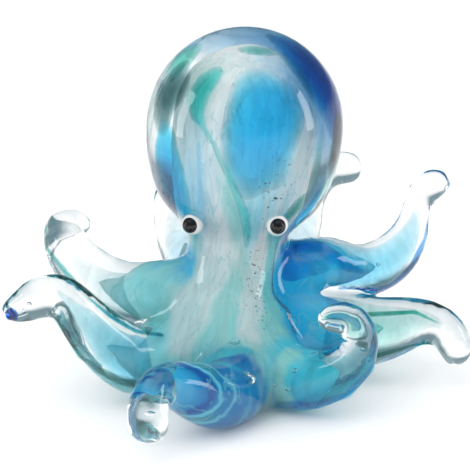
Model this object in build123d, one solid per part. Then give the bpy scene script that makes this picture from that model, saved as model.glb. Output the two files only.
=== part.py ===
from build123d import *
import math
import os

# An octopus figurine of solid hot-worked glass, in millimetres and degrees. It stands on the ground
# foot of its mantle, whose centre is the origin, with +Z up and the face towards -Y.

# The mantle is a turned form on an axis that leans from the centre of the foot.
LEAN_BACK = 12.0
LEAN_RIGHT = 5.0
FOOT_RADIUS = 17.5
FOOT_DEPTH = 6.0          # how far the turned form runs on below the ground cut
SKIRT_RADIUS = 20.4
SKIRT_HEIGHT = 7.0
WAIST_RADIUS = 15.5
WAIST_HEIGHT = 22.0
NECK_RADIUS = 11.6
NECK_HEIGHT = 34.5
CHEEK_RADIUS = 18.9
CHEEK_HEIGHT = 45.5
JOWL_RADIUS = 23.1
JOWL_HEIGHT = 54.0
HEAD_RADIUS = 25.0
HEAD_HEIGHT = 66.9

# The white gather, and the clear glass over it from the foot to the head.
CORE_FOOT_RADIUS = 8.0
FLOOR_WALL = 5.0
SKIRT_WALL = 6.0
WAIST_WALL = 3.0
NECK_WALL = 1.4
HEAD_WALL = 12.7
CORE_LIFT = 1.5           # the gather's widest height above the head's

# The blue lens on the front of the gather.
SPOT_HEIGHT = 62.5
SPOT_BEARING = 21.0
SPOT_WIDTH = 19.0
SPOT_LENGTH = 30.0
SPOT_PROUD = 2.4

# The teal trail on the gather: height up the axis, bearing from the front and half thickness.
TRAIL = [
    (75.0, -43.0, 2.4),
    (69.0, -40.0, 1.4),
    (62.0, -32.0, 1.3),
    (55.0, -20.0, 1.2),
    (48.5, -5.0, 1.1),
    (41.0, 4.0, 0.9),
    (36.0, 6.0, 0.7),
]

# The veils under the skin of the head: bearing from the front, rise, thickness and spread from the middle.
VEIL_COVER = 2.0
VEILS = {
    "back_veil": (140.0, 28.0, 3.0, 50.0),
    "side_veil": (-108.0, 12.0, 2.4, 42.0),
}

# The eyes, dots of glass on the cheeks under the head.
EYE_RADIUS = 2.7
EYE_PROUD = 0.9           # the dot's centre above the skin
PUPIL_RADIUS = 2.0
PUPIL_PROUD = 0.75        # how far the pupil stands out of the dot
PUPIL_BED = 0.2           # how deep it is pressed in
EYES = {                  # height and bearing of the dot, turn and lift of its gaze from straight outwards
    "left": (42.0, -43.5, 22.0, 38.0),
    "right": (43.75, 34.0, -28.0, 42.0),
}

# The arms, in the order in which they are pressed on. The cane is the coloured glass in each: its share
# of the arm's thickness at the root, and how many points of the route it follows. A route point is the
# middle of the arm and its half thickness there.
CANE_TAPER = 0.8          # how much of its share a cane has lost at its end
ARMS = {
    "right": (0.62, 6, [
        (10.0, 4.0, 16.5, 9.0),
        (24.0, 6.0, 14.5, 10.0),
        (34.0, 6.0, 13.0, 9.5),
        (43.5, 5.0, 14.5, 8.0),
        (50.5, 3.5, 16.5, 6.2),
        (55.5, 1.5, 15.8, 5.2),
        (58.3, 0.0, 13.0, 4.8),
        (59.2, -0.5, 10.2, 4.5),
    ]),
    "left": (0.5, 5, [
        (-2.0, 6.0, 20.0, 9.0),
        (-13.5, 7.0, 22.0, 10.0),
        (-23.5, 10.0, 21.5, 8.8),
        (-32.0, 13.0, 24.5, 7.6),
        (-39.0, 16.0, 30.5, 6.6),
        (-41.5, 20.0, 34.5, 5.6),
        (-41.5, 26.5, 35.5, 4.8),
        (-39.0, 30.5, 35.0, 4.2),
    ]),
    "front": (0.66, 6, [
        (4.0, -6.0, 10.5, 9.0),
        (3.0, -22.0, 8.0, 8.8),
        (-2.0, -32.0, 9.5, 8.0),
        (-8.0, -39.0, 14.0, 6.5),
        (-12.5, -44.0, 17.0, 5.0),
        (-15.0, -48.5, 17.0, 4.6),
        (-16.3, -51.5, 13.8, 4.9),
        (-16.0, -52.2, 10.5, 5.2),
    ]),
    "front_left": (0.5, 6, [
        (-2.0, 0.0, 10.0, 9.0),
        (-12.5, -6.0, 9.0, 9.2),
        (-21.5, -11.0, 11.0, 8.6),
        (-29.5, -15.0, 18.5, 7.3),
        (-34.5, -17.0, 25.5, 6.0),
        (-39.5, -19.0, 31.0, 4.8),
        (-44.5, -20.0, 29.5, 5.2),
        (-49.0, -21.0, 27.5, 3.8),
    ]),
    "front_right": (0.62, 6, [
        (8.5, -4.0, 10.0, 9.0),
        (15.0, -13.0, 8.0, 9.0),
        (21.5, -19.0, 8.8, 7.6),
        (28.0, -23.0, 12.0, 6.2),
        (32.5, -25.5, 17.5, 5.0),
        (33.0, -26.3, 23.5, 4.2),
        (29.8, -26.8, 27.6, 3.7),
        (25.6, -27.2, 26.9, 3.6),
    ]),
    "back_right": (0.62, 6, [
        (10.0, 10.0, 23.0, 9.0),
        (25.5, 14.0, 27.5, 8.5),
        (36.0, 18.0, 25.5, 7.2),
        (44.5, 21.0, 28.5, 6.6),
        (49.5, 23.0, 35.5, 4.9),
        (50.8, 23.5, 41.5, 3.9),
        (52.5, 23.0, 45.8, 4.2),
        (55.3, 22.5, 48.0, 4.4),
    ]),
    "rear_left": (0.55, 5, [
        (0.5, 12.0, 22.0, 9.0),
        (-4.0, 21.5, 23.4, 8.6),
        (-8.0, 30.0, 25.5, 7.8),
        (-11.5, 37.0, 29.0, 6.7),
        (-13.8, 42.0, 34.0, 5.4),
        (-15.0, 44.5, 39.5, 4.3),
    ]),
    "rear_right": (0.55, 5, [
        (8.5, 12.0, 22.0, 9.0),
        (16.0, 27.0, 25.5, 8.0),
        (20.5, 38.0, 33.0, 6.6),
        (24.0, 45.0, 41.0, 5.2),
        (29.0, 49.0, 45.5, 4.9),
        (34.0, 50.0, 46.0, 4.9),
    ]),
}

# Angles round a rod's end at which it has a section: for an arm's full round, a trail's blunt end
# and a cane's flat one.
ROUND_END = (35.0, 60.0, 78.0)
BLUNT_END = (60.0,)
FLAT_END = ()


def largest(shape):
    """The main solid of a cut, without the crumbs that it leaves."""
    return shape.solids().sort_by(SortBy.VOLUME)[-1]


def turned(below_neck, above_neck):
    """A solid of revolution: a side line below and above the neck, closed by a dome and a flat foot."""
    foot = below_neck[0]
    neck = below_neck[-1]
    dome_radius, dome_height = above_neck[-1]
    upright = (0.0, 1.0)
    lines = [
        Spline(*below_neck, tangents=[(1.0, 1.0), upright]),
        Spline(neck, *above_neck, tangents=[upright, upright]),
        CenterArc((0, dome_height), dome_radius, 0, 90),
        Polyline((0, dome_height + dome_radius), (0, foot[1]), foot),
    ]
    return revolve(make_face(Plane.XZ * Curve(lines)), Axis.Z)


def heading(bearing, rise=0.0):
    """A direction from the mantle's axis, by its bearing from the front and its rise."""
    flat = Vector(0, -1, 0).rotate(Axis.Z, bearing)
    return flat * math.cos(math.radians(rise)) + Vector(0, 0, 1) * math.sin(math.radians(rise))


def seat(solid, height, bearing):
    """A point on the skin of an upright turned solid, and the direction outwards there."""
    outward = heading(bearing)
    ray = Axis((0, 0, height), outward)
    hits = [hit for face in solid.faces() for hit in face.find_intersection_points(ray)]
    point, normal = max(hits, key=lambda hit: (hit[0] - ray.position).dot(outward))
    if normal.dot(outward) < 0:
        normal = -normal
    return point, normal


def rod(points, radii, end_angles):
    """A round rod along a smooth route, with both ends alike. It goes as far as there are radii."""
    path = Spline(*points)
    sections = []
    sideways = Vector(0, 0, 1)
    last = len(radii) - 1
    for index, (point, radius) in enumerate(zip(points, radii)):
        along = path.tangent_at(point)
        sideways = (sideways - along * sideways.dot(along)).normalized()
        start_cap = [-angle for angle in reversed(end_angles)] if index == 0 else []
        end_cap = list(end_angles) if index == last else []
        for angle in start_cap + [0.0] + end_cap:
            middle = Vector(*point) + along * radius * math.sin(math.radians(angle))
            plane = Plane(origin=middle, x_dir=sideways, z_dir=along)
            sections.append(plane * Circle(radius * math.cos(math.radians(angle))))
    return loft(sections)


def veil(bearing, rise, thickness, spread):
    """A lens of glass just under the skin of the head, thickest in the middle."""
    outer = HEAD_RADIUS - VEIL_COVER
    rim = (outer * math.sin(math.radians(spread)), outer * math.cos(math.radians(spread)))
    outer_arc = CenterArc((0, 0), outer, 90 - spread, spread)
    inner_pole = (0, outer - thickness)
    inner_arc = TangentArc(inner_pole, rim, tangent=(1, 0))
    section = make_face(Plane.XZ * Curve([outer_arc, inner_arc, Line(inner_pole, (0, outer))]))
    lens = revolve(section, Axis.Z)
    return Plane(origin=(0, 0, HEAD_HEIGHT), z_dir=heading(bearing, rise)) * lens


# The mantle's outer form and the white gather in it, upright.
mantle = turned(
    [
        (FOOT_RADIUS, -FOOT_DEPTH),
        (SKIRT_RADIUS, SKIRT_HEIGHT),
        (WAIST_RADIUS, WAIST_HEIGHT),
        (NECK_RADIUS, NECK_HEIGHT),
    ],
    [
        (CHEEK_RADIUS, CHEEK_HEIGHT),
        (JOWL_RADIUS, JOWL_HEIGHT),
        (HEAD_RADIUS, HEAD_HEIGHT),
    ],
)
core = turned(
    [
        (CORE_FOOT_RADIUS, FLOOR_WALL),
        (SKIRT_RADIUS - SKIRT_WALL, SKIRT_HEIGHT + SKIRT_WALL),
        (WAIST_RADIUS - WAIST_WALL, WAIST_HEIGHT),
        (NECK_RADIUS - NECK_WALL, NECK_HEIGHT),
    ],
    [
        (HEAD_RADIUS - HEAD_WALL, HEAD_HEIGHT + CORE_LIFT),
    ],
)

# The blue lens and the teal trail, seated on the gather.
spot_seat, spot_out = seat(core, SPOT_HEIGHT, SPOT_BEARING)
half_oval = EllipticalCenterArc((0, 0), SPOT_WIDTH / 2, SPOT_LENGTH / 2, -90, arc_size=180)
oval = revolve(make_face(Plane.XZ * Curve([half_oval, Line(half_oval @ 1, half_oval @ 0)])), Axis.Z)
spot = Pos(spot_seat - spot_out * (SPOT_WIDTH / 2 - SPOT_PROUD)) * oval - core
trail_seats = [seat(core, height, bearing)[0] for height, bearing, radius in TRAIL]
trail = rod(trail_seats, [radius for height, bearing, radius in TRAIL], BLUNT_END) - core - spot

inner_pieces = {"mantle_core": core, "brow_spot": spot, "crest_trail": trail}
for name, (bearing, rise, thickness, spread) in VEILS.items():
    inner_pieces[name] = veil(bearing, rise, thickness, spread)

# The eyes sit on the skin: a white dot, and a black one sunk into it.
eye_pieces = {}
for name, (height, bearing, turn, lift) in EYES.items():
    eye_seat, eye_out = seat(mantle, height, bearing)
    across = Axis((0, 0, 0), Vector(0, 0, 1).cross(eye_out))
    gaze = eye_out.rotate(across, -lift).rotate(Axis.Z, turn)
    look = Plane(origin=eye_seat + eye_out * EYE_PROUD, z_dir=gaze)
    dot = Sphere(EYE_RADIUS)
    bead = Pos(0, 0, EYE_RADIUS + PUPIL_PROUD - PUPIL_RADIUS) * Sphere(PUPIL_RADIUS)
    bead -= Sphere(EYE_RADIUS - PUPIL_BED)
    eye_pieces[name + "_eye_white"] = look * (dot - bead) - mantle
    eye_pieces[name + "_eye_pupil"] = look * bead - mantle

# The whole mantle leans, and its foot is ground flat.
lean = Rot(-LEAN_BACK, LEAN_RIGHT, 0)
nodes = {}
for name, solid in {**inner_pieces, **eye_pieces}.items():
    nodes[name] = largest(lean * solid)
leaning_mantle = split(lean * mantle, bisect_by=Plane.XY, keep=Keep.TOP)
nodes["mantle_casing"] = largest(leaning_mantle - [nodes[name] for name in inner_pieces])

# Each arm is pressed on to the mantle and to the arms that are there already.
placed = [leaning_mantle]
for name, (share, cane_points, route) in ARMS.items():
    middles = [point[:3] for point in route]
    radii = [point[3] for point in route]
    whole = rod(middles, radii, ROUND_END)
    arm = largest(split(whole, bisect_by=Plane.XY, keep=Keep.TOP) - placed)
    shares = [share * (1 - CANE_TAPER * (step / (cane_points - 1)) ** 2) for step in range(cane_points)]
    cane_radii = [radius * part for radius, part in zip(radii, shares)]
    cane = largest(rod(middles, cane_radii, FLAT_END) & arm)
    nodes[name + "_arm_cane"] = cane
    nodes[name + "_arm_casing"] = largest(arm - cane)
    placed.append(whole)

os.makedirs("parts", exist_ok=True)
for name, solid in nodes.items():
    export_step(solid, f"parts/{name}.step")
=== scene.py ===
import math

import bmesh
import bpy
from mathutils import Matrix, Vector, noise


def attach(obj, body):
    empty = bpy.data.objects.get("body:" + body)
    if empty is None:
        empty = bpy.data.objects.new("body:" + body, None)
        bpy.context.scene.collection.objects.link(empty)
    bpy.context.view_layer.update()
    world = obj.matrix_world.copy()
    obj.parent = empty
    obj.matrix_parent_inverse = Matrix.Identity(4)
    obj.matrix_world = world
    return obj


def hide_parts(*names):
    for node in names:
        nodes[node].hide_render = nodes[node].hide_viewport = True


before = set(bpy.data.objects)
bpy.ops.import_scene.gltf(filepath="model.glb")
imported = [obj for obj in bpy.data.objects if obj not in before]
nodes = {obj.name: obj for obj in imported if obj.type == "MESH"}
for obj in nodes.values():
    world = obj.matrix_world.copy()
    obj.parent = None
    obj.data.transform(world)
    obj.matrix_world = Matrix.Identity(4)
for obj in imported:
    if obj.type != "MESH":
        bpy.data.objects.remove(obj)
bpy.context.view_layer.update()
collection = bpy.context.scene.collection

# The gather at the heart of the figure: opal white glass marvered to a tapering pear, rolled
# over scraps of teal, blue and black glass, and drawn out at the foot into the roots of the arms.
# The clear casing is laid over it hot, so its surface has no shine of its own.
MM = 0.001
GATHER_GRAIN = 0.9 * MM
GATHER_PASSES = 10
MERGE = 0.001 * MM
FLOW = 0.5
BALL_STEP = 0.3
LEAN_BACK = math.radians(12)
LEAN_RIGHT = math.radians(5)
LEAN = Matrix.Rotation(-LEAN_BACK, 4, "X") @ Matrix.Rotation(LEAN_RIGHT, 4, "Y")
SKIRT_MIDDLE = (0, 0, 10.5)
SKIRT_REACH = (18.0, 18.0, 9.5)
NECK_RADIUS = 12.0
ARMS_FROM = 15.0
ARMS_WHOLLY = 21.0

# The patterns in the opal: spacing of the threads, the fine streaks, the swirls and the specks in mm,
# and how many times the threads are drawn out up the gather.
THREAD_SPACING = 3.57
FINE_SPACING = 2.22
SWIRL_SPACING = 11.1
SPECK_SPACING = 0.77
DRAWN_OUT = 5

# Roots of the arms in the gather: middle and half thickness in mm, from the foot outwards.
ROOTS = {
    "right": [
        (10, 4, 16.5, 8.0), (20, 5.5, 15.2, 7.6), (28, 6, 13.8, 5.2),
        (35, 6, 13, 2.6), (41, 5.4, 14, 1.0)],
    "left": [
        (-2, 6, 20, 7.4), (-11, 7, 22.8, 8.2), (-18, 8.5, 22.4, 5.6),
        (-25, 10.4, 21.8, 2.6), (-31, 12.6, 24, 1.0)],
    "front": [
        (4, -6, 10.5, 7.4), (3, -22, 8, 7.0), (-2, -32, 9.5, 6.2),
        (-8, -39, 14, 4.2), (-12, -43.4, 16.8, 1.4)],
    "front_left": [
        (-2, 0, 10, 7.4), (-10, -4.6, 9.2, 7.2), (-17, -8.6, 9.8, 5.0),
        (-23, -12, 12, 2.4), (-28, -14.2, 16.6, 1.0)],
    "front_right": [
        (8.5, -4, 10, 7.4), (13, -10, 8.6, 7.2), (18, -16, 8.2, 5.8),
        (24, -20.4, 9.8, 3.2), (29, -23.4, 13, 1.0)],
    "back_right": [
        (10, 10, 23, 8.0), (18, 12, 25.8, 7.4), (25.5, 14, 27.3, 5.6),
        (33, 16.8, 26.2, 2.6), (39, 19, 26.2, 1.0)],
    "rear_left": [
        (0.5, 12, 22, 7.2), (-3, 19, 22.8, 5.4), (-6.4, 26.4, 24.4, 2.2), (-9, 32, 26.4, 1.0)],
    "rear_right": [
        (8.5, 12, 22, 7.2), (12, 18.6, 23.2, 5.4), (15.4, 25.6, 25.2, 2.2), (18, 31, 27.4, 1.0)],
}

# Scraps of colour on the gather, in the order they lie: bearing from the front in degrees and
# height in mm of the middle, half spread in degrees, half height in mm, lean, softness of the edge,
# and colour as it shows through the casing. Two of them are painted light, not colour of the glass.
SCRAPS = [
    (21, 62, 62, 22, 0, 0.4, "eaf1f4"),
    (21, 60, 34, 17, 0, 0.5, "b4e0f4"),
    (0, 2, 400, 30, 0, 0.22, "66c4c6"),
    (-62, 38, 17, 9, 0, 0.5, "6cc2c6"),
    (57, 38, 14, 9, 0, 0.5, "6cc2c4"),
    (-12, 37, 33, 9, 0, 0.3, "d0e6ea"),
    (-30, 28, 26, 8, 0, 0.35, "bcd9de"),
    (-44, 21, 28, 7.5, 0, 0.35, "b4d8dc"),
    (-38, 14, 15, 5.5, 0, 0.4, "aed6da"),
    (16, 33, 7, 5, 0, 0.6, "92d2ce"),
    (3, 27, 8, 6, 0, 0.6, "86cfca"),
    (-4, 20, 10, 7, 0, 0.5, "7ccbc8"),
    (-6, 13, 14, 6, 0, 0.5, "78c9c6"),
    (39, 34, 13, 6, 0, 0.3, "c6d8d9"),
    (31, 27, 16, 7, 0, 0.3, "bcd4d6"),
    (23, 20, 14, 7.5, 0, 0.3, "b6d2d5"),
    (20, 14.5, 9, 4, 0, 0.4, "b8d6d6"),
    (60, 30, 10, 9, 0, 0.4, "5fbfc0"),
    (53, 21, 12, 8, 0, 0.4, "5fbfc0"),
    (42, 14, 12, 6, 0, 0.4, "76c8c4"),
    (98, 26, 31, 11, 0, 0.2, "1ba0f4"),
    (88, 15, 30, 13, 0, 0.2, "1796ee"),
    (80, 6, 30, 8, 0, 0.25, "2aacea"),
    (68, 25, 1.4, 10, 0, 0.6, "2a5a78"),
    # A painted glint: a pale streak on the right of the neck, lighter where light shines on the glass.
    (96, 28, 2.2, 5, 0, 0.5, "b8e2f4"),
    (14, 6, 16, 5, 0, 0.5, "94dad6"),
    # Painted light: a lighter patch low on the front right that lifts the shade of the underside near the
    # floor.
    (34, 3, 22, 4, 0, 0.6, "9ce8ea"),
    (-84, 31, 24, 5, 0, 0.4, "3fa6ea"),
    (-92, 23, 18, 6, 0, 0.4, "66c0c2"),
    (-44, 53, 4, 12, 0, 0.8, "a4d6ee"),
    (20, 47, 14, 8, 0, 0.8, "82cfee"),
    (-6, 47, 5, 19, 61, 0.7, "8ad2ce"),
]

# Scraps in the roots of the arms: bearing in degrees and distance from the axis in mm of the middle,
# half spread in degrees, half length in mm, softness of the edge, and colour.
ROOT_SCRAPS = [
    (-2, 34, 28, 16, 0.3, "0f60a2"),
    (-2, 21, 24, 3.0, 0.5, "2c9cb4"),
    (5, 26, 10, 3.0, 0.5, "0f4a90"),
    (-3, 31, 20, 1.2, 0.6, "1c86b4"),
    (-7, 37.2, 24, 0.5, 0.7, "4aa8c8"),
    (-8, 38.6, 9, 0.7, 0.6, "1f6f86"),
    (-9, 40, 24, 0.5, 0.7, "4aacd0"),
    (-10, 42, 14, 1.0, 0.6, "0e3f84"),
    (-13, 48, 20, 3.0, 0.9, "1f80c0"),
    (50, 27, 22, 11, 0.4, "3cb8d8"),
    (37, 25.5, 9, 2.4, 0.5, "74d2c8"),
    (92, 27, 24, 12, 0.3, "2aa4ea"),
    (98, 39, 14, 7, 0.6, "8cdcd8"),
    (122, 27, 16, 12, 0.3, "34acf4"),
    (112, 30, 3, 9, 0.5, "a8e0f6"),
    (-64, 25, 20, 10, 0.4, "6cd2e4"),
    (-95, 31, 22, 9, 0.4, "6ccad2"),
    (-94, 34, 22, 7, 0.7, "b4e4e8"),
    (-64, 33, 20, 6, 0.7, "a4e2ee"),
    (118, 43, 18, 7, 0.7, "8cd6f8"),
]

# Black specks in the gather lie over these patches: bearing, height, half spread and half height.
SPECKS = [(36, 46, 6, 13), (33, 26, 15, 12), (66, 20, 5, 16), (42, 55, 22, 6)]

# How far the scraps wander round and up the gather, in degrees and mm, and how far the threads fray
# their edges, as a share of the softness.
SWIRL = (22, 9, 0)
FRAYED = 0.6

# The share of a matt surface's light that clear glass over it keeps in.
KEPT_IN = 0.6


def linear(code):
    """The linear colour of an sRGB hex code."""
    shares = [value / 255 for value in bytes.fromhex(code)]
    return [s / 12.92 if s <= 0.04045 else ((s + 0.055) / 1.055) ** 2.4 for s in shares] + [1.0]


def under_glass(code):
    """The colour of a matt surface that shows as a hex code through clear glass."""
    return [share / (1 - KEPT_IN + KEPT_IN * share) for share in linear(code)[:3]] + [1.0]


def material_of(name):
    """An empty node material."""
    material = bpy.data.materials.new(name)
    material.use_nodes = True
    material.node_tree.nodes.clear()
    return material


def add(owner, kind, inputs=None, **settings):
    """A shader node's first output; an input is a value or another node's output."""
    node = owner.node_tree.nodes.new("ShaderNode" + kind)
    for key, value in settings.items():
        setattr(node, key, value)
    for key, value in (inputs or {}).items():
        if isinstance(value, bpy.types.NodeSocket):
            owner.node_tree.links.new(value, node.inputs[key])
        else:
            node.inputs[key].default_value = value
    return node.outputs[0] if node.outputs else node


def bead_run(shape, route):
    """Balls along a route of (x, y, z, radius) in mm, close enough to fuse into one limb."""
    for (*start, start_radius), (*end, end_radius) in zip(route, route[1:]):
        start, end = Vector(start), Vector(end)
        steps = max(2, round((end - start).length / (BALL_STEP * min(start_radius, end_radius))))
        for step in range(steps + 1):
            share = step / steps
            middle = start.lerp(end, share) * MM
            radius = (start_radius + (end_radius - start_radius) * share) * MM
            place = Matrix.Translation(middle)
            bmesh.ops.create_icosphere(shape, subdivisions=2, radius=radius, matrix=place)


def fused(name, shape, grain, passes):
    """An object from a bmesh of closed shapes that overlap: one skin, flowed smooth."""
    mesh = bpy.data.meshes.new(name)
    piece = bpy.data.objects.new(name, mesh)
    collection.objects.link(piece)
    shape.to_mesh(mesh)
    shape.free()
    melt = piece.modifiers.new("Melt", "REMESH")
    melt.mode = "VOXEL"
    melt.voxel_size = grain
    melted = piece.evaluated_get(bpy.context.evaluated_depsgraph_get())
    whole = bpy.data.meshes.new_from_object(melted)
    piece.modifiers.remove(melt)
    shape = bmesh.new()
    shape.from_mesh(whole)
    bpy.data.meshes.remove(whole)
    waiting = set(shape.verts)
    largest = set()
    while waiting:
        shell = set()
        edge = [waiting.pop()]
        while edge:
            vert = edge.pop()
            shell.add(vert)
            near = {link.other_vert(vert) for link in vert.link_edges} & waiting
            waiting -= near
            edge.extend(near)
        if len(shell) > len(largest):
            largest = shell
    strays = [vert for vert in shape.verts if vert not in largest]
    bmesh.ops.delete(shape, geom=strays, context="VERTS")
    for _ in range(passes):
        bmesh.ops.smooth_vert(shape, verts=shape.verts, factor=FLOW, use_axis_x=True, use_axis_y=True,
                              use_axis_z=True)
    for face in shape.faces:
        face.smooth = True
    shape.to_mesh(mesh)
    shape.free()
    mesh.materials.clear()
    return piece


shape = bmesh.new()
shape.from_mesh(nodes["mantle_core"].data)
bmesh.ops.remove_doubles(shape, verts=shape.verts, dist=MERGE)
skirt = Matrix.Translation(Vector(SKIRT_MIDDLE) * MM) @ Matrix.Diagonal((*SKIRT_REACH, 1))
bmesh.ops.create_icosphere(shape, subdivisions=4, radius=MM, matrix=LEAN @ skirt)
for route in ROOTS.values():
    bead_run(shape, route)
gather = fused("streaked_gather", shape, GATHER_GRAIN, GATHER_PASSES)

# Opal white glass with scraps of colour: milky and matt under the casing, streaked the way it was
# drawn, with bands of teal, white and blue that flow into the arms, and a scatter of black specks.
# Two scraps are painted light: a pale glint on the right of the neck, and a lighter patch low on the
# front right that lifts the shade near the floor.
opal = material_of("opal white glass")
place = add(opal, "TexCoord").node.outputs["Object"]
place = add(opal, "VectorMath", {0: place, 1: (1 / MM, 1 / MM, 1 / MM)}, operation="MULTIPLY")
upright = add(opal, "Mapping", {"Vector": place, "Rotation": (LEAN_BACK, -LEAN_RIGHT, 0)})
axes = add(opal, "SeparateXYZ", {0: upright}).node.outputs
front = add(opal, "Math", {0: axes["Y"], 1: -1.0}, operation="MULTIPLY")
bearing = add(opal, "Math", {0: axes["X"], 1: front}, operation="ARCTAN2")
degrees = add(opal, "Math", {0: bearing}, operation="DEGREES")
flat = add(opal, "VectorMath", {0: upright, 1: (1, 1, 0)}, operation="MULTIPLY")
out = add(opal, "VectorMath", {0: flat}, operation="LENGTH").node.outputs["Value"]
sheet = add(opal, "CombineXYZ", {"X": degrees, "Y": axes["Z"]})
girth = add(opal, "Math", {0: out, 1: NECK_RADIUS}, operation="MAXIMUM")
pull = add(opal, "Math", {0: NECK_RADIUS, 1: girth}, operation="DIVIDE")
pull = add(opal, "CombineXYZ", {"X": pull, "Y": pull, "Z": 1 / DRAWN_OUT})
drawn = add(opal, "VectorMath", {0: upright, 1: pull}, operation="MULTIPLY")
threads = add(opal, "TexNoise", {"Vector": drawn, "Scale": 1 / THREAD_SPACING, "Detail": 4.0,
                                 "Roughness": 0.6, "Distortion": 0.8})
swirl = add(opal, "TexNoise", {"Vector": upright, "Scale": 1 / SWIRL_SPACING, "Detail": 3.0})
swirl = add(opal, "VectorMath", {0: swirl.node.outputs["Color"], 1: (0.5, 0.5, 0.5)},
            operation="SUBTRACT")
swirl = add(opal, "VectorMath", {0: swirl, 1: SWIRL}, operation="MULTIPLY")
swirled = add(opal, "VectorMath", {0: sheet, 1: swirl}, operation="ADD")
in_arms = add(opal, "MapRange", {"Value": out, "From Min": ARMS_FROM, "From Max": ARMS_WHOLLY},
              interpolation_type="SMOOTHSTEP")
colour = add(opal, "ValToRGB", {0: threads})
ramp = colour.node.color_ramp
ramp.elements[0].position = 0.3
ramp.elements[0].color = under_glass("cddcde")
ramp.elements[1].position = 0.56
ramp.elements[1].color = under_glass("e4e8e8")


def patch(at, height, wide, high, lean=0.0, ground=swirled):
    """How far a point of the gather lies from the middle of a patch on it, 1 at the patch's rim."""
    spot = add(opal, "Mapping", {"Vector": ground, "Location": (at, height, 0),
                                 "Rotation": (0, 0, math.radians(lean)),
                                 "Scale": (wide, high, 1)}, vector_type="TEXTURE")
    return add(opal, "VectorMath", {0: spot}, operation="LENGTH").node.outputs["Value"]


def painted(colour, reach, soft, code, within=None):
    """The colour with a scrap laid over it, whose edge is frayed along the threads."""
    frayed = add(opal, "MapRange", {"Value": threads, "From Min": 0.3, "From Max": 0.7,
                                    "To Min": -FRAYED * soft, "To Max": FRAYED * soft})
    reach = add(opal, "Math", {0: reach, 1: frayed}, operation="ADD")
    cover = add(opal, "MapRange", {"Value": reach, "From Min": 1 + soft, "From Max": 1 - soft},
                interpolation_type="SMOOTHSTEP")
    if within:
        cover = add(opal, "Math", {0: cover, 1: within}, operation="MULTIPLY")
    return add(opal, "MixRGB", {"Fac": cover, "Color1": colour, "Color2": under_glass(code)})


for at, height, wide, high, lean, soft, code in SCRAPS:
    colour = painted(colour, patch(at, height, wide, high, lean), soft, code)
outward = add(opal, "CombineXYZ", {"X": degrees, "Y": out})
outward = add(opal, "VectorMath", {0: outward, 1: swirl}, operation="ADD")
for at, distance, wide, long, soft, code in ROOT_SCRAPS:
    colour = painted(colour, patch(at, distance, wide, long, ground=outward), soft, code, in_arms)
fine = add(opal, "TexNoise", {"Vector": drawn, "Scale": 1 / FINE_SPACING, "Detail": 2.0,
                              "Distortion": 1.0})
fine = add(opal, "MapRange", {"Value": fine, "From Min": 0.32, "From Max": 0.6,
                              "To Min": 0.88, "To Max": 1.0})
colour = add(opal, "MixRGB", {"Fac": 1.0, "Color1": colour, "Color2": fine}, blend_type="MULTIPLY")
edge = add(opal, "Math", {0: threads, 1: 0.5, 2: 0.012}, operation="COMPARE")
edge = add(opal, "Math", {0: edge, 1: 0.35}, operation="MULTIPLY")
colour = add(opal, "MixRGB", {"Fac": edge, "Color1": colour, "Color2": under_glass("4fa4b4")})
tossed = add(opal, "VectorMath", {0: upright, 1: swirl}, operation="ADD")
cells = add(opal, "TexVoronoi", {"Vector": tossed, "Scale": 1 / SPECK_SPACING}).node.outputs
some = add(opal, "SeparateColor", {0: cells["Color"]})
dot = add(opal, "MapRange", {"Value": some, "From Min": 0.45, "From Max": 1.0,
                             "To Min": 0.0, "To Max": 0.42})
dot = add(opal, "Math", {0: cells["Distance"], 1: dot}, operation="LESS_THAN")
strewn = 0.0
for at, height, wide, high in SPECKS:
    near = patch(at, height, wide, high)
    near = add(opal, "MapRange", {"Value": near, "From Min": 1.2, "From Max": 0.5})
    strewn = add(opal, "Math", {0: strewn, 1: near}, operation="MAXIMUM")
dot = add(opal, "Math", {0: dot, 1: strewn}, operation="MULTIPLY")
colour = add(opal, "MixRGB", {"Fac": dot, "Color1": colour, "Color2": under_glass("26323a")})
surface = add(opal, "BsdfPrincipled", {"Base Color": colour, "Roughness": 0.6, "IOR": 1.0})
add(opal, "OutputMaterial", {"Surface": surface})
gather.data.materials.append(opal)
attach(gather, "root")
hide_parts("mantle_core", "front_arm_cane")

# The inlays in the clear casing: two folded sheets of colour at the back and the left side
# of the head. Each is transparent glass of the casing's own index, so only its colour shows.
# Glass, colour, and the depth of glass in mm that gives it.
INLAYS = {
    "back_veil": ("deep blue glass", "4f86b8", 3.0),
    "side_veil": ("grey teal glass", "a9c6c6", 3.0),
}
LEAST_SHARE = 0.003
ROOT_FROM = 18 * MM
ROOT_TO = 38 * MM

# A height counts for less than a width does, in the distance from the foot and in the streaks.
FROM_FOOT = (1, 1, 0.4)
STREAKED = (1, 1, 0.35)
STREAK_SPACING = 4.17 * MM


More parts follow.
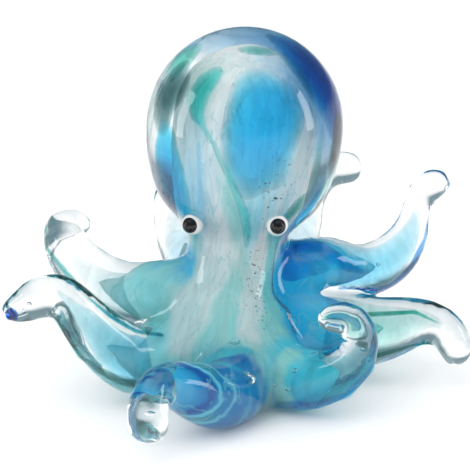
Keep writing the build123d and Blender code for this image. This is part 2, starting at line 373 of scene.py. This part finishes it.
def tinted(name, code, depth, root="ffffff"):
    """Coloured glass inside clear glass: white light takes its colour over a depth in mm.
    It is streaked where it was drawn, and takes a second colour towards the foot."""
    material = material_of(name)
    take = [-math.log(max(share, LEAST_SHARE)) / (depth * MM) for share in linear(code)[:3]]
    most = max(take)
    tint = [1 - share / most for share in take]
    place = add(material, "TexCoord").node.outputs["Object"]
    out = add(material, "VectorMath", {0: place, 1: FROM_FOOT}, operation="MULTIPLY")
    out = add(material, "VectorMath", {0: out}, operation="LENGTH").node.outputs["Value"]
    far = add(material, "MapRange", {"Value": out, "From Min": ROOT_FROM, "From Max": ROOT_TO},
              interpolation_type="SMOOTHSTEP")
    drawn = add(material, "VectorMath", {0: place, 1: STREAKED}, operation="MULTIPLY")
    streaks = add(material, "TexNoise", {"Vector": drawn, "Scale": 1 / STREAK_SPACING, "Detail": 3.0,
                                         "Distortion": 1.2})
    streaks = add(material, "MapRange", {"Value": streaks, "From Min": 0.35, "From Max": 0.62,
                                         "To Min": 0.8, "To Max": 1.0})
    glow = add(material, "MixRGB", {"Fac": far, "Color1": linear(root), "Color2": (1, 1, 1, 1)})
    glow = add(material, "MixRGB", {"Fac": 1.0, "Color1": glow, "Color2": streaks}, blend_type="MULTIPLY")
    shell = add(material, "BsdfPrincipled", {"Base Color": glow, "Roughness": 0.0, "IOR": 1.0,
                                             "Transmission Weight": 1.0})
    inside = add(material, "VolumeAbsorption", {"Color": (*tint, 1), "Density": most})
    add(material, "OutputMaterial", {"Surface": shell, "Volume": inside})
    return material


for name, (label, code, depth) in INLAYS.items():
    inlay = nodes[name]
    inlay.data.materials.clear()
    inlay.data.materials.append(tinted(label, code, depth))

# Folds of colour under the skin of the mantle: sheets and strands of thin coloured glass that were
# picked up on the casing and stretched, lens-shaped in section, close below the surface.
# The long blue spot over the brow lies deeper, on the gather. The pale mint stripe on the right of the
# head is partly that glass and partly a painted reflection of the strip of light on the right.

# The side lines of the mantle and of the gather: height and radius in mm, with a dome on the last.
SIDE_LINE = [(0, 19.6), (7, 20.4), (22, 15.5), (34.5, 11.6), (45.5, 18.9), (54, 23.1), (66.9, 25.0)]
CORE_LINE = [(34.5, 10.2), (43, 10.6), (51.5, 11.25), (60, 12.0), (68.4, 12.3)]

# The line it lies on, length up that line in mm, bearing in degrees, half length and half width in mm,
# half thickness, depth of the middle, slant in degrees, glass, colour, the depth that gives it, and slot.
FOLDS = {
    "brow_spot_lens": (CORE_LINE, 65, 17, 14.5, 8.6, 1.9, -1.0, 0,
                       "sky blue glass", "50d2fb", 5.4, "sky_blue_glass"),
    "navy_fold": (SIDE_LINE, 81, 70, 18, 11.5, 2.6, 3.2, 16,
                  "navy glass", "3aa4d8", 3.0, "deep_blue_glass"),
    "rim_fold": (SIDE_LINE, 65, 76, 9, 5.0, 1.7, 2.4, 8,
                 "smoky green glass", "8ea8a2", 2.0, "teal_glass"),
    "smoky_fold": (SIDE_LINE, 73, -58, 10, 6.5, 1.8, 2.6, -12,
                   "smoky teal glass", "88a6a8", 2.2, "teal_glass"),
    "mint_fold": (SIDE_LINE, 83, -62, 6.4, 5.6, 1.4, 2.0, 0,
                  "mint glass", "aeeae0", 1.8, "teal_glass"),
    "blue_strand": (SIDE_LINE, 52, -55, 14, 6.6, 2.0, 2.6, 4,
                    "blue strand glass", "4cdafc", 2.2, "sky_blue_glass"),
    "cheek_strand": (SIDE_LINE, 49, 64, 10, 4.4, 1.6, 2.4, 6,
                     "pale blue strand", "86d2f6", 2.4, "sky_blue_glass"),
    "crown_fold": (SIDE_LINE, 88.5, 6, 1.8, 5.5, 1.1, 2.2, 0,
                   "teal fold glass", "98dcd8", 1.6, "teal_glass"),
    # Partly a real mint stripe, partly a painted reflection: a pale mint tint where the right strip of
    # light shows on the glass.
    "mint_stripe_and_painted_reflection": (SIDE_LINE, 58, 53, 10, 1.7, 1.0, 1.8, 6,
                    "pale mint glass", "cceee6", 1.4, "teal_glass"),
    "petal_fold": (SIDE_LINE, 47.5, 46, 4.8, 2.6, 0.9, 1.6, -30,
                   "petal teal glass", "9cd8d0", 1.2, "teal_glass"),
}
FRAY = 0.22
FRAY_LOBES = 1.4
LEAST_GIRTH = 0.35


def under_skin(line, along, bearing, depth):
    """A point under a turned form's skin: mm up its side line, bearing in degrees, mm deep."""
    top, dome = line[-1]
    if along > top:
        rise = (along - top) / dome
        radius = (dome - depth) * math.cos(rise)
        height = top + (dome - depth) * math.sin(rise)
    else:
        height = max(along, line[0][0])
        for (low, low_radius), (high, high_radius) in zip(line, line[1:]):
            if low <= height <= high:
                share = (height - low) / (high - low)
                radius = low_radius + (high_radius - low_radius) * share - depth
    turn = math.radians(bearing)
    return LEAN @ (Vector((radius * math.sin(turn), -radius * math.cos(turn), height)) * MM)


for name, row in FOLDS.items():
    line, along, at, long, wide, thick, deep, slant, label, code, depth, slot = row
    fold_mesh = bpy.data.meshes.new(name)
    fold = bpy.data.objects.new(name, fold_mesh)
    collection.objects.link(fold)
    shape = bmesh.new()
    bmesh.ops.create_icosphere(shape, subdivisions=5, radius=1.0)
    lie = Matrix.Rotation(math.radians(slant), 3, "Z")
    top, dome = line[-1]
    for vert in shape.verts:
        ragged = 1 + FRAY * noise.noise(Vector((FRAY_LOBES * vert.co.x, FRAY_LOBES * vert.co.y, along)))
        spread = lie @ Vector((vert.co.x * wide * ragged, vert.co.y * long * ragged, 0))
        swell = thick * abs(vert.co.z) * vert.co.z
        girth = dome * max(LEAST_GIRTH, math.cos(max(0.0, along + spread.y - top) / dome))
        round_to = at + math.degrees(spread.x / girth)
        vert.co = under_skin(line, along + spread.y, round_to, deep - swell)
    for face in shape.faces:
        face.smooth = True
    shape.to_mesh(fold_mesh)
    shape.free()
    fold_mesh.materials.append(tinted(label, code, depth))
    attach(fold, "root")
    if name == "brow_spot_lens":
        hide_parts("brow_spot")

# The trail on the gather: a blob of teal glass set down on the left of the crown and drawn out
# over the face into a thread. Length up the gather's side in mm, bearing and half thickness.
TRAIL = [
    (77, -40, 1.4), (74.5, -45, 2.2), (71, -50, 2.3), (68, -48, 1.5), (65.5, -41, 0.8), (62, -29, 0.7),
    (58, -20, 0.7), (55, -12, 0.8), (51, -2, 1.0), (47, 7, 1.2), (42, 13, 1.2), (37, 15, 0.7),
]
TRAIL_SEAT = 0.6
STRAND_GRAIN = 0.35 * MM
STRAND_PASSES = 6
route = []
for along, at, radius in TRAIL:
    middle = under_skin(CORE_LINE, along, at, -TRAIL_SEAT * radius) / MM
    route.append((*middle, radius))
shape = bmesh.new()
bead_run(shape, route)
trail = fused("drawn_trail", shape, STRAND_GRAIN, STRAND_PASSES)
trail.data.materials.append(tinted("teal glass", "6cf0e8", 5.6))
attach(trail, "root")
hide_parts("crest_trail")

# The canes in the arms: rods of coloured glass that the arms were drawn out over,
# thick at the root and running out before the tip.
# Glass, colour, the depth of glass in mm that gives it, and a second colour at the root.
CANES = {
    "right": ("sea green cane", "9ae4dc", 13.0, "7cc8ec"),
    "left": ("pale teal cane", "cfeaee", 10.0, "8fd4dc"),
    "front_left": ("light blue cane", "74d2e8", 9.0, "b0e0f0"),
    "front_right": ("teal cane", "62ccd8", 10.0, "98d4f2"),
    "back_right": ("cyan cane", "74d6f8", 10.0, "74c4f4"),
    "rear_left": ("pale blue cane", "bfe6f4", 10.0, "b4dcf0"),
    "rear_right": ("faint blue cane", "cdeaf6", 10.0, "b4dcf0"),
}
for name, (label, code, depth, root) in CANES.items():
    cane = nodes[name + "_arm_cane"]
    cane.data.materials.clear()
    cane.data.materials.append(tinted(label, code, depth, root))

# The strands in the arms: threads of coloured glass that run close under the skin
# of the clear arms and were drawn out with them.
# Glass, colour, the depth that gives it, slot, and the route's middles and half thicknesses in mm.
STRANDS = {
    "back_right_strand": ("royal blue strand", "4f9ce4", 1.8, "deep_blue_glass", [
        (29, 12.5, 21.5, 0.9), (37.5, 17, 20.9, 1.1), (43.5, 19.5, 22.6, 1.1), (48.1, 20.6, 26.2, 1.0),
        (52.2, 22.3, 33.2, 0.8), (53.2, 23, 38.5, 0.4)]),
    "neck_strand": ("azure strand", "74dcfe", 3.6, "sky_blue_glass", [
        (13.6, 6.8, 35.6, 1.2), (18, 10, 34.4, 1.8), (23.7, 12.2, 33.2, 2.0), (28, 11, 31, 1.9),
        (32, 11.6, 28.6, 1.4), (36, 14, 26.4, 0.6)]),
    "left_strand": ("thin teal strand", "5fb4b4", 1.2, "teal_glass", [
        (-21, 7, 16, 0.8), (-30, 11.4, 18.8, 0.8), (-38, 14.2, 25.6, 0.7), (-44, 17, 32, 0.6),
        (-44.6, 21, 36, 0.3)]),
    "front_left_strand": ("grey teal strand", "7cbcb8", 1.8, "teal_glass", [
        (-17, -12.4, 5.4, 1.0), (-25, -16, 8.6, 1.2), (-34, -18.5, 15, 1.1), (-38.2, -19.6, 22.6, 0.9),
        (-41.4, -20.6, 27.6, 0.5)]),
    "front_left_stripe": ("bright teal strand", "49b7c6", 1.2, "teal_glass", [
        (-15, -8, 15.4, 0.7), (-22, -13, 18.4, 0.8), (-27, -17.5, 24.4, 0.8), (-31.8, -19.6, 29.6, 0.5)]),
    "tip_spot": ("ink blue glass", "2f62c0", 2.0, "deep_blue_glass", [
        (-49.6, -21.8, 26.6, 1.5), (-50.3, -22, 26.2, 1.4)]),
    "right_strand": ("sea green strand", "3fae9f", 1.4, "teal_glass", [
        (30, 1, 18.4, 0.8), (40, 0.6, 19.2, 0.8), (48.5, -1, 20.4, 0.7), (54.6, -2, 17.6, 0.4)]),
    "right_low_strand": ("sea green strand", "3fae9f", 1.4, "teal_glass", [
        (28, 1, 7.4, 0.9), (39, 0.6, 9, 0.9), (48, 0, 11.4, 0.7), (54, -1, 12.2, 0.4)]),
    "front_right_strand": ("blue edge strand", "6ccaf4", 2.4, "deep_blue_glass", [
        (14, -17, 3.6, 1.2), (22, -23, 4.2, 1.5), (30, -26, 8, 1.4), (35.4, -27.4, 14.8, 1.1),
        (36, -27.6, 22, 0.5)]),
}
for name, (label, code, depth, slot, route) in STRANDS.items():
    shape = bmesh.new()
    bead_run(shape, route)
    strand = fused(name, shape, STRAND_GRAIN, STRAND_PASSES)
    strand.data.materials.append(tinted(label, code, depth))
    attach(strand, "root")

# The clear casing: one body of clear glass, gathered over the core and the canes, with the eight
# arms pulled from hot bits and fused on, so every seam has flowed into a soft fillet.
# The foot is ground flat.
SKIN_GRAIN = 1.35 * MM
SKIN_PASSES = 7
SEAM_PASSES = 18
SEAM_REACH = 27 * MM
SEAM_TOP = 38 * MM
FOOT_FLAT = 0.3 * MM
BUBBLE_FORM = (1.25, 1, 0.9, 1)

# Bubbles caught in the glass: middle and radius in mm.
BUBBLES = [
    (6.1, -29.0, 12.5, 1.9), (3.3, -15.9, 17.1, 1.1), (22.5, -20.2, 15.7, 0.6), (17.9, -22.2, 12.1, 0.7),
    (-2.9, -41.2, 14.4, 0.5), (33.3, -28.6, 20.1, 0.5), (16.3, -22.8, 8.0, 0.6), (12.9, -21.8, 8.5, 0.45),
    (-45.5, -22.6, 29.4, 0.5), (28.5, 0.2, 16.5, 0.5), (-16.0, -50.4, 12.0, 0.6), (40.0, 16.5, 27.5, 0.5),
]
shape = bmesh.new()
for name, node in nodes.items():
    if "_eye_" not in name:
        shape.from_mesh(node.data)
bmesh.ops.remove_doubles(shape, verts=shape.verts, dist=MERGE)
skin = fused("clear_casing", shape, SKIN_GRAIN, SKIN_PASSES)
shape = bmesh.new()
shape.from_mesh(skin.data)
seams = [vert for vert in shape.verts if vert.co.xy.length < SEAM_REACH and vert.co.z < SEAM_TOP]
for _ in range(SEAM_PASSES):
    bmesh.ops.smooth_vert(shape, verts=seams, factor=FLOW, use_axis_x=True, use_axis_y=True,
                          use_axis_z=True)
for vert in shape.verts:
    if vert.co.z < FOOT_FLAT:
        vert.co.z = 0.0
for *middle, radius in BUBBLES:
    place = Matrix.Translation(Vector(middle) * MM) @ Matrix.Diagonal(BUBBLE_FORM)
    made = bmesh.ops.create_icosphere(shape, subdivisions=2, radius=radius * MM, matrix=place)
    walls = list({face for vert in made["verts"] for face in vert.link_faces})
    bmesh.ops.reverse_faces(shape, faces=walls)
    for face in walls:
        face.smooth = True
shape.to_mesh(skin.data)
shape.free()
finer = skin.modifiers.new("Finer", "SUBSURF")
finer.levels = 1
finer.render_levels = 1

# Clear glass: full shine, a breath of aqua in the thick, and a hand-worked swell that bends
# what lies behind it.
SWELL_SPACING = 11.1 * MM
SWELL_DEPTH = 4 * MM
clear = material_of("clear glass")
place = add(clear, "TexCoord").node.outputs["Object"]
swell = add(clear, "TexNoise", {"Vector": place, "Scale": 1 / SWELL_SPACING, "Detail": 1.0})
worked = add(clear, "Bump", {"Strength": 0.06, "Distance": SWELL_DEPTH, "Height": swell})
surface = add(clear, "BsdfPrincipled", {"Base Color": (1, 1, 1, 1), "Roughness": 0.0, "IOR": 1.5,
                                        "Transmission Weight": 1.0, "Normal": worked})
inside = add(clear, "VolumeAbsorption", {"Color": linear("a8dce4"), "Density": 6.0})
add(clear, "OutputMaterial", {"Surface": surface, "Volume": inside})
skin.data.materials.append(clear)
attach(skin, "root")
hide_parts(*[name for name in nodes if name.endswith("casing")])

# The eyes: a bead of white glass dotted on either side of the neck, and a bead of
# black glass on each, pressed in hot so that it stands up as a shiny button.
WHITE_CLOUD = 1.43 * MM
BLACK_CLOUD = 1.11 * MM


def bead_glass(name, dark, light, cloud, rough):
    """Opaque glass, fire-polished, with clouds of a second shade in it."""
    material = material_of(name)
    place = add(material, "TexCoord").node.outputs["Object"]
    milk = add(material, "TexNoise", {"Vector": place, "Scale": 1 / cloud, "Detail": 2.0})
    shade = add(material, "ValToRGB", {0: milk})
    shade.node.color_ramp.elements[0].color = linear(dark)
    shade.node.color_ramp.elements[1].color = linear(light)
    surface = add(material, "BsdfPrincipled", {"Base Color": shade, "Roughness": rough, "IOR": 1.5})
    add(material, "OutputMaterial", {"Surface": surface})
    return material


eye_white = bead_glass("white bead glass", "d2d2d0", "e6e5e2", WHITE_CLOUD, 0.12)
black = bead_glass("black bead glass", "0c090b", "1c1418", BLACK_CLOUD, 0.05)
for side in ("left", "right"):
    for part, material in (("white", eye_white), ("pupil", black)):
        bead = nodes[side + "_eye_" + part]
        bead.data.materials.clear()
        bead.data.materials.append(material)

# The stage: a flat sheet of white paper under and behind the figure.
FLOOR_HALF = 6.0
FLOOR_DROP = 0.1 * MM
floor_mesh = bpy.data.meshes.new("floor")
floor = bpy.data.objects.new("floor", floor_mesh)
collection.objects.link(floor)
shape = bmesh.new()
place = Matrix.Translation((0, 0, -FLOOR_DROP))
bmesh.ops.create_grid(shape, x_segments=1, y_segments=1, size=FLOOR_HALF, matrix=place)
shape.to_mesh(floor_mesh)
shape.free()

# White paper: bright and matt, so that it takes the figure's shadow and tints.
paper = material_of("white paper")
surface = add(paper, "BsdfPrincipled", {"Base Color": linear("f8f8f8"), "Roughness": 0.9,
                                        "Specular IOR Level": 0.0})
add(paper, "OutputMaterial", {"Surface": surface})
floor_mesh.materials.append(paper)

# The light: a white room for every matt surface, while the glass mirrors and bends a darker one,
# which draws its edges; a soft box above, and an upright strip of light on either side.
AIM = Vector((3.3, 2.0, 39.6)) * MM

# How steep a line of sight is, 1 straight up, where the bright horizon fades out, the bright ceiling
# fades in, and the white room brightens.
HORIZON = (-0.02, 0.16)
CEILING = (0.72, 0.9)
ROOM = (-0.1, 1.0)

# Place, width and height in metres, power in watts, and whether the glass mirrors the lamp.
LAMPS = {
    "top_box": ((-0.25, -0.6, 0.7), 0.7, 0.7, 2.5, False),
    "left_strip": ((-0.6, -0.1, 0.25), 0.12, 0.4, 0.7, True),
    "right_strip": ((0.6, -0.1, 0.25), 0.12, 0.4, 0.7, True),
}
world = bpy.data.worlds.new("studio")
bpy.context.scene.world = world
world.use_nodes = True
world.node_tree.nodes.clear()
way = add(world, "TexCoord")
way = add(world, "SeparateXYZ", {0: way}).node.outputs
horizon = add(world, "MapRange", {"Value": way["Z"], "From Min": HORIZON[0], "From Max": HORIZON[1],
                                  "To Min": 1.0, "To Max": 0.0}, interpolation_type="SMOOTHSTEP")
above = add(world, "MapRange", {"Value": way["Z"], "From Min": CEILING[0], "From Max": CEILING[1],
                                "To Min": 0.0, "To Max": 1.0}, interpolation_type="SMOOTHSTEP")
bright = add(world, "Math", {0: horizon, 1: above}, operation="MAXIMUM")
room = add(world, "MixRGB", {"Fac": bright, "Color1": linear("6f8a92"), "Color2": (1, 1, 1, 1)})
studio = add(world, "MapRange", {"Value": way["Z"], "From Min": ROOM[0], "From Max": ROOM[1],
                                 "To Min": 0.98, "To Max": 1.12})
matt = add(world, "LightPath").node.outputs["Diffuse Depth"]
matt = add(world, "Math", {0: matt, 1: 1.0}, operation="MINIMUM")
glow = add(world, "MixRGB", {"Fac": matt, "Color1": room, "Color2": studio})
sky = add(world, "Background", {"Color": glow, "Strength": 1.0})
add(world, "OutputWorld", {"Surface": sky})
for name, (place, wide, high, power, mirrored) in LAMPS.items():
    lamp = bpy.data.objects.new(name, bpy.data.lights.new(name, "AREA"))
    lamp.data.shape = "RECTANGLE"
    lamp.data.size = wide
    lamp.data.size_y = high
    lamp.data.energy = power
    lamp.location = place
    lamp.rotation_euler = (AIM - Vector(place)).to_track_quat("-Z", "Y").to_euler()
    lamp.visible_glossy = mirrored
    collection.objects.link(lamp)

# The camera: a long lens a little above the figure, looking at its face.
CAMERA_RISE = math.radians(15)
CAMERA_REACH = 0.43
CAMERA_LENS = 131.7
CAMERA_SENSOR = 36.0
CAMERA_NEAR = 10 * MM
GLASS_BOUNCES = 32
SHINE_BOUNCES = 16
camera = bpy.data.objects.new("camera", bpy.data.cameras.new("camera"))
camera.data.lens = CAMERA_LENS
camera.data.sensor_width = CAMERA_SENSOR
camera.data.clip_start = CAMERA_NEAR
camera.location = AIM + CAMERA_REACH * Vector((0, -math.cos(CAMERA_RISE), math.sin(CAMERA_RISE)))
camera.rotation_euler = (math.pi / 2 - CAMERA_RISE, 0, 0)
collection.objects.link(camera)
bpy.context.scene.camera = camera
bpy.context.scene.view_settings.view_transform = "Standard"
bpy.context.scene.cycles.max_bounces = GLASS_BOUNCES
bpy.context.scene.cycles.transmission_bounces = GLASS_BOUNCES
bpy.context.scene.cycles.glossy_bounces = SHINE_BOUNCES
